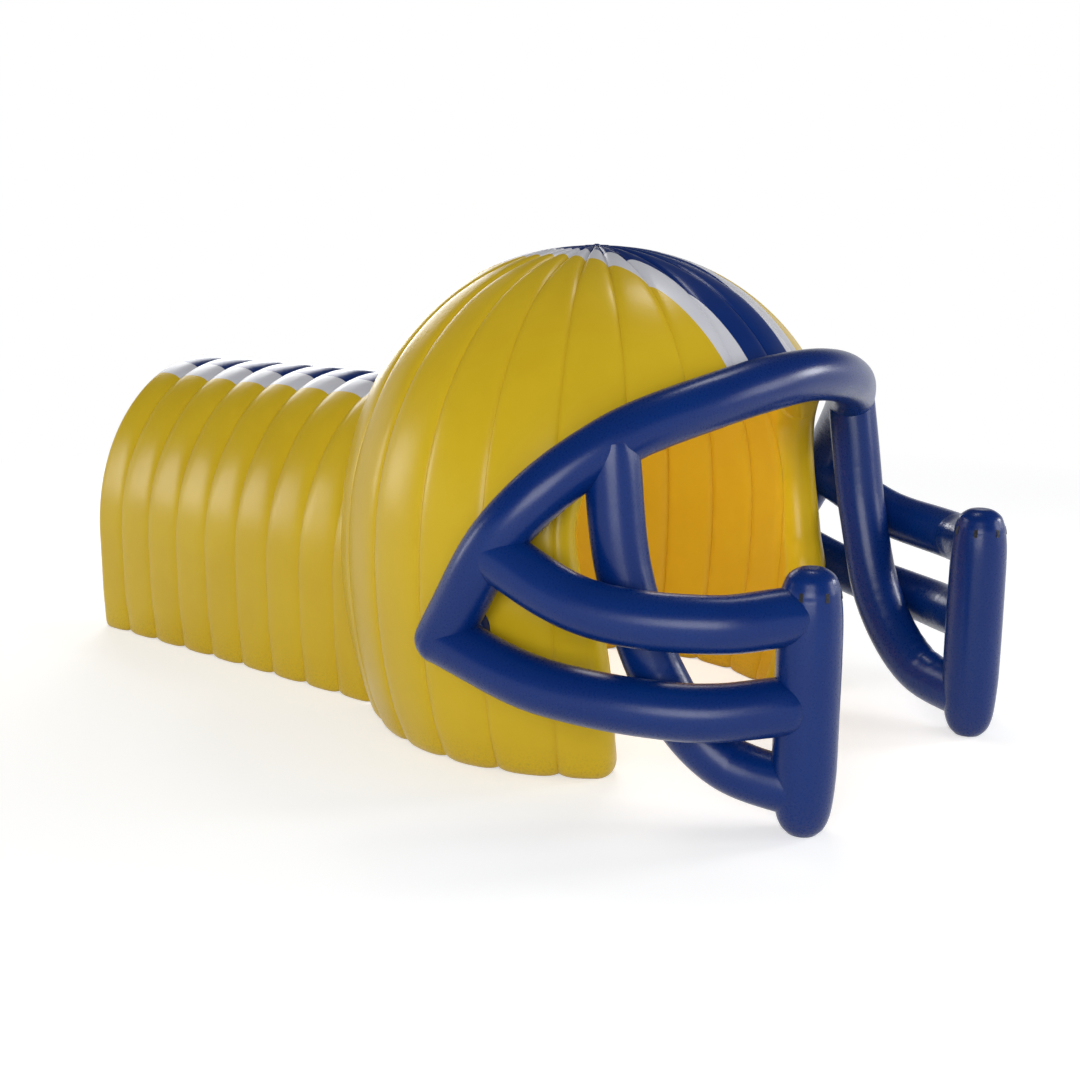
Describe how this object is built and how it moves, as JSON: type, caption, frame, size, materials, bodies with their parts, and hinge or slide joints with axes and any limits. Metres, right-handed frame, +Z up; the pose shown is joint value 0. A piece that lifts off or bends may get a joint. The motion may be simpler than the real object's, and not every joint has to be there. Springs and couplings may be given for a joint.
{
  "type": "inflatable sports tunnel",
  "caption": "Inflatable entrance tunnel shaped like a football helmet, with a gored dome, a face mask of tubes, a ribbed tunnel behind and a blower beside it.",
  "frame": {"origin": "on the ground, under the middle of the part's bounding box", "axes": "+Z up, the helmet faces -Y, the tunnel runs to +Y, +X is the wearer's left"},
  "size_m": [4.7504, 7.9642, 3.66],
  "materials": {
    "yellow_fabric": "satin coated cloth",
    "blue_fabric": "satin coated cloth",
    "black_webbing": "woven",
    "black_plastic": "moulded",
    "steel": "zinc plated",
    "red_plastic": "moulded"
  },
  "bodies": {
    "structure": {"gore_right_01": "yellow_fabric", "gore_right_02": "yellow_fabric", "gore_right_03": "yellow_fabric", "gore_right_04": "yellow_fabric", "gore_right_05": "yellow_fabric", "gore_right_06": "yellow_fabric", "gore_right_07": "yellow_fabric", "gore_right_08": "yellow_fabric", "gore_right_09": "yellow_fabric", "gore_right_10": "yellow_fabric", "gore_right_11": "yellow_fabric", "gore_right_12": "yellow_fabric", "gore_left_01": "yellow_fabric", "gore_left_02": "yellow_fabric", "gore_left_03": "yellow_fabric", "gore_left_04": "yellow_fabric", "gore_left_05": "yellow_fabric", "gore_left_06": "yellow_fabric", "gore_left_07": "yellow_fabric", "gore_left_08": "yellow_fabric", "gore_left_09": "yellow_fabric", "gore_left_10": "yellow_fabric", "gore_left_11": "yellow_fabric", "gore_left_12": "yellow_fabric", "crown_plug": "blue_fabric", "tunnel_rib_1": "yellow_fabric", "tunnel_rib_2": "yellow_fabric", "tunnel_rib_3": "yellow_fabric", "tunnel_rib_4": "yellow_fabric", "tunnel_rib_5": "yellow_fabric", "tunnel_rib_6": "yellow_fabric", "tunnel_rib_7": "yellow_fabric", "tunnel_rib_8": "yellow_fabric", "tunnel_rib_9": "yellow_fabric", "brow_tube": "blue_fabric", "post_left": "blue_fabric", "post_right": "blue_fabric", "mid_bar_left": "blue_fabric", "mid_bar_right": "blue_fabric", "jaw_bar_left": "blue_fabric", "jaw_bar_right": "blue_fabric", "drop_bar_left": "blue_fabric", "drop_bar_right": "blue_fabric", "ear_boss_left": "blue_fabric", "ear_boss_right": "blue_fabric", "blower_housing_inlet_side": "black_plastic", "blower_housing_motor_side": "black_plastic", "motor": "black_plastic", "inlet_grille": "steel", "outlet_spigot": "black_plastic", "inflation_sleeve": "yellow_fabric", "sleeve_strap": "black_webbing", "zip_tape": "black_webbing", "webbing_tab_left": "black_webbing", "webbing_tab_right": "black_webbing"},
    "fan": {"impeller": "black_plastic"},
    "rocker": {"switch_rocker": "red_plastic"},
    "slider": {"zip_slider": "steel"},
    "ring_left": {"d_ring_left": "steel"},
    "ring_right": {"d_ring_right": "steel"}
  },
  "joints": [
    {"name": "impeller_spin", "type": "hinge", "parent": "structure", "child": "fan", "pos_m": [2.02, 3.75709, 0.235], "axis": [0, 1, 0], "continuous": true},
    {"name": "switch_tilt", "type": "hinge", "parent": "structure", "child": "rocker", "pos_m": [2.02, 3.60679, 0.319], "axis": [0, 1, 0], "range_deg": [0, 24]},
    {"name": "zip_slide", "type": "slide", "parent": "structure", "child": "slider", "axis": [0, 0, 1], "range_m": [0, 0.445]},
    {"name": "ring_swing_left", "type": "hinge", "parent": "structure", "child": "ring_left", "pos_m": [1.125, 3.97408, 0.16], "axis": [1, 0, 0], "range_deg": [0, 150]},
    {"name": "ring_swing_right", "type": "hinge", "parent": "structure", "child": "ring_right", "pos_m": [-1.125, 3.97408, 0.16], "axis": [1, 0, 0], "range_deg": [0, 150]}
  ]
}
